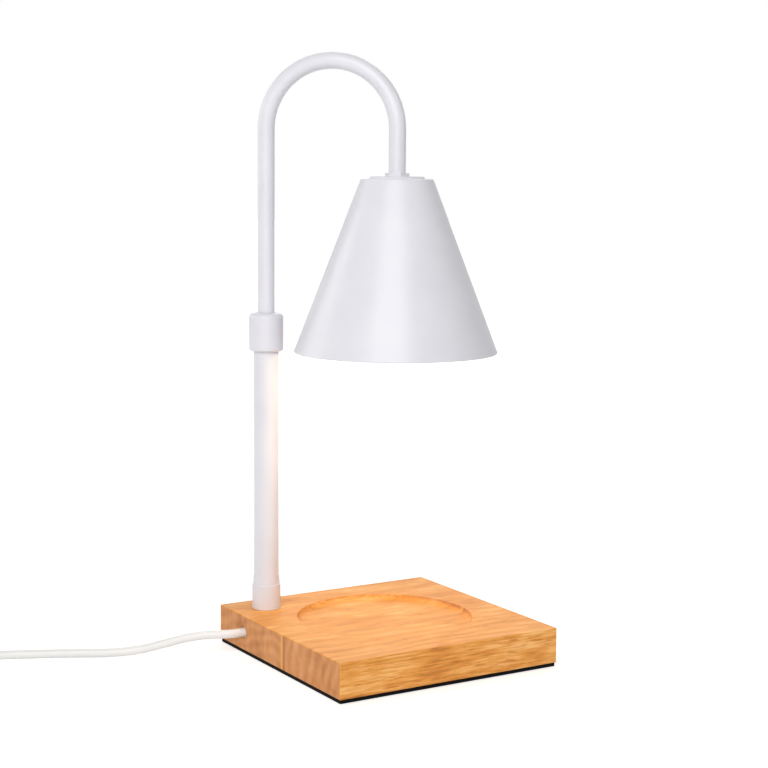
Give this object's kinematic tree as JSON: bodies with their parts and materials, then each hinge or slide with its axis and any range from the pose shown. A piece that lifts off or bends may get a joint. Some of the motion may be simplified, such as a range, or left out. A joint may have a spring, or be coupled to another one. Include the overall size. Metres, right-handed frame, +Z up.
{
  "type": "candle warmer lamp",
  "caption": "Candle warmer lamp with a square wooden base, corner post, telescopic swan-neck arm, conical metal shade around a reflector bulb, and a cord with a rotary dimmer and plug.",
  "frame": {"origin": "middle of the base's underside", "axes": "+Z up, -Y towards the front side of the base, post in the -X +Y corner"},
  "size_m": [0.431, 0.2074, 0.3396],
  "materials": {
    "oiled_wood": "oiled, laminated staves",
    "black_pad": "matte foam rubber",
    "powder_coat": "satin powder coat",
    "cord_sheath": "satin flexible sheath",
    "soft_boot": "satin",
    "wire_sleeve": "satin",
    "lead_sleeve": "woven glass sleeve",
    "crimp_nylon": "translucent nylon",
    "zinc_steel": "zinc plated",
    "bare_brass": "machined",
    "nylon": "moulded nylon",
    "holder_ceramic": "unglazed",
    "nickel_pin": "nickel plated",
    "reflector_mirror": "faceted mirror coating",
    "capsule_glass": "clear quartz",
    "lens_glass": "clear",
    "dimmer_shell": "fine texture",
    "circuit_board": "lacquered",
    "tie_strip": "paper and wire strip",
    "plug_shell": "moulded"
  },
  "bodies": {
    "base": {"base_block": "oiled_wood", "foot_pad": "black_pad", "cord_bushing": "soft_boot", "cord_entry": "cord_sheath", "core_wires": "wire_sleeve", "crimp_caps": "crimp_nylon", "lamp_lead": "lead_sleeve", "post_ferrule": "powder_coat", "ferrule_screw": "zinc_steel", "post_tube": "powder_coat", "post_nipple": "bare_brass", "post_washer": "zinc_steel", "post_lock_washer": "zinc_steel", "post_nut": "bare_brass", "thread_sleeve": "bare_brass", "collet": "nylon", "post_lead": "lead_sleeve", "cord_lead": "cord_sheath", "dimmer_base": "dimmer_shell", "dimmer_cover": "dimmer_shell", "dimmer_board": "circuit_board", "dimmer_wires": "wire_sleeve", "dimmer_screws": "zinc_steel", "dimmer_boots": "soft_boot", "cord_link": "cord_sheath", "cord_coil": "cord_sheath", "coil_tie": "tie_strip", "cord_tail": "cord_sheath", "plug_boot": "soft_boot", "plug_body": "plug_shell", "plug_blades": "bare_brass"},
    "collar": {"lock_collar": "powder_coat"},
    "slider": {"guide_bush": "nylon"},
    "arm": {"keeper_rings": "zinc_steel", "arm_tube": "powder_coat", "arm_lead": "lead_sleeve", "top_nut": "powder_coat", "cap_disc": "powder_coat", "shade": "powder_coat", "inner_nut": "bare_brass", "holder_bracket": "zinc_steel", "lamp_holder": "holder_ceramic", "holder_screws": "zinc_steel", "bulb_neck": "holder_ceramic", "bulb_pins": "nickel_pin", "bulb_reflector": "reflector_mirror", "bulb_capsule": "capsule_glass", "bulb_lens": "lens_glass"},
    "wheel": {"dimmer_wheel": "dimmer_shell"}
  },
  "joints": [
    {"name": "arm_height", "type": "slide", "parent": "base", "child": "slider", "axis": [0, 0, 1], "range_m": [-0.08, 0.02], "deforming": ["post_lead"]},
    {"name": "arm_swing", "type": "hinge", "parent": "slider", "child": "arm", "pos_m": [-0.05, 0.05, 0], "axis": [0, 0, 1], "range_deg": [-170, 170]},
    {"name": "collar_turn", "type": "hinge", "parent": "base", "child": "collar", "pos_m": [-0.05, 0.05, 0], "axis": [0, 0, 1], "range_deg": [0, 180]},
    {"name": "dimmer_turn", "type": "hinge", "parent": "base", "child": "wheel", "pos_m": [-0.3445, 0.006, 0.0085], "axis": [0, 0, 1], "range_deg": [-135, 135]}
  ]
}
